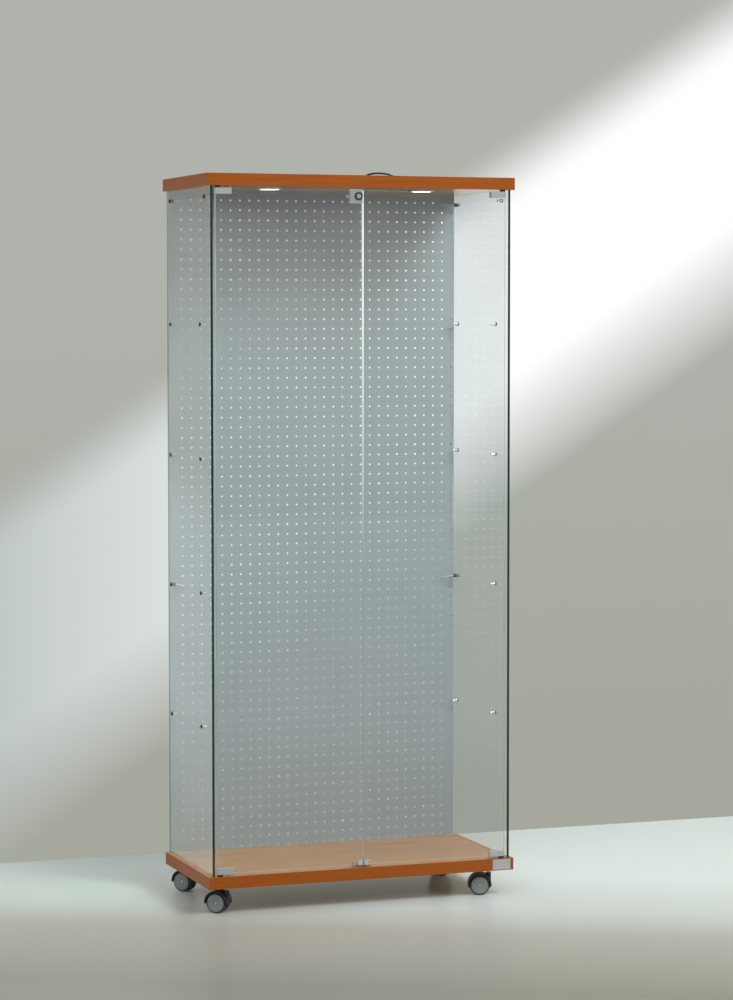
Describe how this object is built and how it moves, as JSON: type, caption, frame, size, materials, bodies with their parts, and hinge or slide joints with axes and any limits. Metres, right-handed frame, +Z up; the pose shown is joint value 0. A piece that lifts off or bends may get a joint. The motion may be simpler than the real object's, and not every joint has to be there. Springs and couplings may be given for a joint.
{
  "type": "display case",
  "caption": "Glass-sided display case on swivel castors, with two hinged glass doors, a lock, a perforated peg back and lights in its top board.",
  "frame": {"origin": "bottom centre of the case's bounding box, on the floor under the castors", "axes": "+Z up, the doors face -Y, +X to the right of someone facing the doors, so the lock is on the door at -X"},
  "size_m": [0.8, 0.38, 1.8233],
  "materials": {
    "board": "satin laminate",
    "edging": "satin wood-grain strip",
    "glass": "clear float glass with a faint green edge",
    "panel": "semi-gloss grey powder coat",
    "satin_steel": "satin",
    "dark_steel": "satin black",
    "chrome": "polished",
    "black_plastic": "fine matt",
    "white_plastic": "fine matt",
    "clear_plastic": "translucent",
    "lens": "frosted",
    "can": "mill finish",
    "rubber": "matt",
    "hood_plastic": "fine matt",
    "wheel_plastic": "matt grey tread with a smoother grey disc",
    "plate": "satin"
  },
  "bodies": {
    "case": {"base_board": "board", "top_board": "board", "base_edging": "edging", "top_edging": "edging", "left_side_glass": "glass", "right_side_glass": "glass", "lower_panel": "panel", "upper_panel": "panel", "panel_ties": "satin_steel", "tie_studs": "dark_steel", "shelf_pins": "chrome", "glass_caps": "dark_steel", "glass_washers": "clear_plastic", "pivot_bushes": "black_plastic", "lock_strike": "chrome", "magnetic_catch": "black_plastic", "catch_screws": "satin_steel", "downlight_bezels": "satin_steel", "downlight_lenses": "lens", "downlight_cans": "can", "lamp_leads": "rubber", "lamp_driver": "white_plastic", "cord_gland": "rubber", "lead_to_coil": "rubber", "cord_coil": "rubber", "lead_to_plug": "rubber", "cord_plug": "black_plastic", "label_plate": "plate", "castor_stems": "satin_steel", "castor_sockets": "satin_steel"},
    "left_door": {"left_door_glass": "glass", "left_hinge_clamps": "satin_steel", "left_door_screws": "satin_steel", "left_pivot_pins": "satin_steel", "left_catch_plate": "chrome", "lock_body": "chrome", "lock_shell": "black_plastic"},
    "lock": {"lock_cylinder": "chrome", "lock_cam": "satin_steel"},
    "right_door": {"right_door_glass": "glass", "right_hinge_clamps": "satin_steel", "right_door_screws": "satin_steel", "right_pivot_pins": "satin_steel", "right_catch_plate": "chrome"},
    "fl_castor": {"fl_castor_hood": "hood_plastic", "fl_castor_axle": "satin_steel"},
    "fl_outer": {"fl_outer_wheel": "wheel_plastic"},
    "fl_inner": {"fl_inner_wheel": "wheel_plastic"},
    "fr_castor": {"fr_castor_hood": "hood_plastic", "fr_castor_axle": "satin_steel"},
    "fr_outer": {"fr_outer_wheel": "wheel_plastic"},
    "fr_inner": {"fr_inner_wheel": "wheel_plastic"},
    "bl_castor": {"bl_castor_hood": "hood_plastic", "bl_castor_axle": "satin_steel"},
    "bl_outer": {"bl_outer_wheel": "wheel_plastic"},
    "bl_inner": {"bl_inner_wheel": "wheel_plastic"},
    "br_castor": {"br_castor_hood": "hood_plastic", "br_castor_axle": "satin_steel"},
    "br_outer": {"br_outer_wheel": "wheel_plastic"},
    "br_inner": {"br_inner_wheel": "wheel_plastic"}
  },
  "joints": [
    {"name": "left_door_hinge", "type": "hinge", "parent": "case", "child": "left_door", "pos_m": [-0.37, -0.181, 0.93], "axis": [0, 0, -1], "range_deg": [0, 110]},
    {"name": "right_door_hinge", "type": "hinge", "parent": "case", "child": "right_door", "pos_m": [0.37, -0.181, 0.93], "axis": [0, 0, 1], "range_deg": [0, 110]},
    {"name": "lock_turn", "type": "hinge", "parent": "left_door", "child": "lock", "pos_m": [-0.0123, -0.18, 1.749], "axis": [0, 1, 0], "range_deg": [0, 90]},
    {"name": "fl_swivel", "type": "hinge", "parent": "case", "child": "fl_castor", "pos_m": [-0.346, -0.155, 0.045], "axis": [0, 0, 1], "continuous": true},
    {"name": "fl_outer_spin", "type": "hinge", "parent": "fl_castor", "child": "fl_outer", "pos_m": [-0.3631, -0.14116, 0.025], "axis": [-0.6293, -0.7771, 0], "continuous": true},
    {"name": "fl_inner_spin", "type": "hinge", "parent": "fl_castor", "child": "fl_inner", "pos_m": [-0.3631, -0.14116, 0.025], "axis": [-0.6293, -0.7771, 0], "continuous": true},
    {"name": "fr_swivel", "type": "hinge", "parent": "case", "child": "fr_castor", "pos_m": [0.346, -0.155, 0.045], "axis": [0, 0, 1], "continuous": true},
    {"name": "fr_outer_spin", "type": "hinge", "parent": "fr_castor", "child": "fr_outer", "pos_m": [0.32533, -0.14748, 0.025], "axis": [-0.342, -0.9397, 0], "continuous": true},
    {"name": "fr_inner_spin", "type": "hinge", "parent": "fr_castor", "child": "fr_inner", "pos_m": [0.32533, -0.14748, 0.025], "axis": [-0.342, -0.9397, 0], "continuous": true},
    {"name": "bl_swivel", "type": "hinge", "parent": "case", "child": "bl_castor", "pos_m": [-0.346, 0.135, 0.045], "axis": [0, 0, 1], "continuous": true},
    {"name": "bl_outer_spin", "type": "hinge", "parent": "bl_castor", "child": "bl_outer", "pos_m": [-0.35985, 0.1521, 0.025], "axis": [-0.7771, -0.6293, 0], "continuous": true},
    {"name": "bl_inner_spin", "type": "hinge", "parent": "bl_castor", "child": "bl_inner", "pos_m": [-0.35985, 0.1521, 0.025], "axis": [-0.7771, -0.6293, 0], "continuous": true},
    {"name": "br_swivel", "type": "hinge", "parent": "case", "child": "br_castor", "pos_m": [0.346, 0.135, 0.045], "axis": [0, 0, 1], "continuous": true},
    {"name": "br_outer_spin", "type": "hinge", "parent": "br_castor", "child": "br_outer", "pos_m": [0.32533, 0.12748, 0.025], "axis": [0.342, -0.9397, 0], "continuous": true},
    {"name": "br_inner_spin", "type": "hinge", "parent": "br_castor", "child": "br_inner", "pos_m": [0.32533, 0.12748, 0.025], "axis": [0.342, -0.9397, 0], "continuous": true}
  ]
}
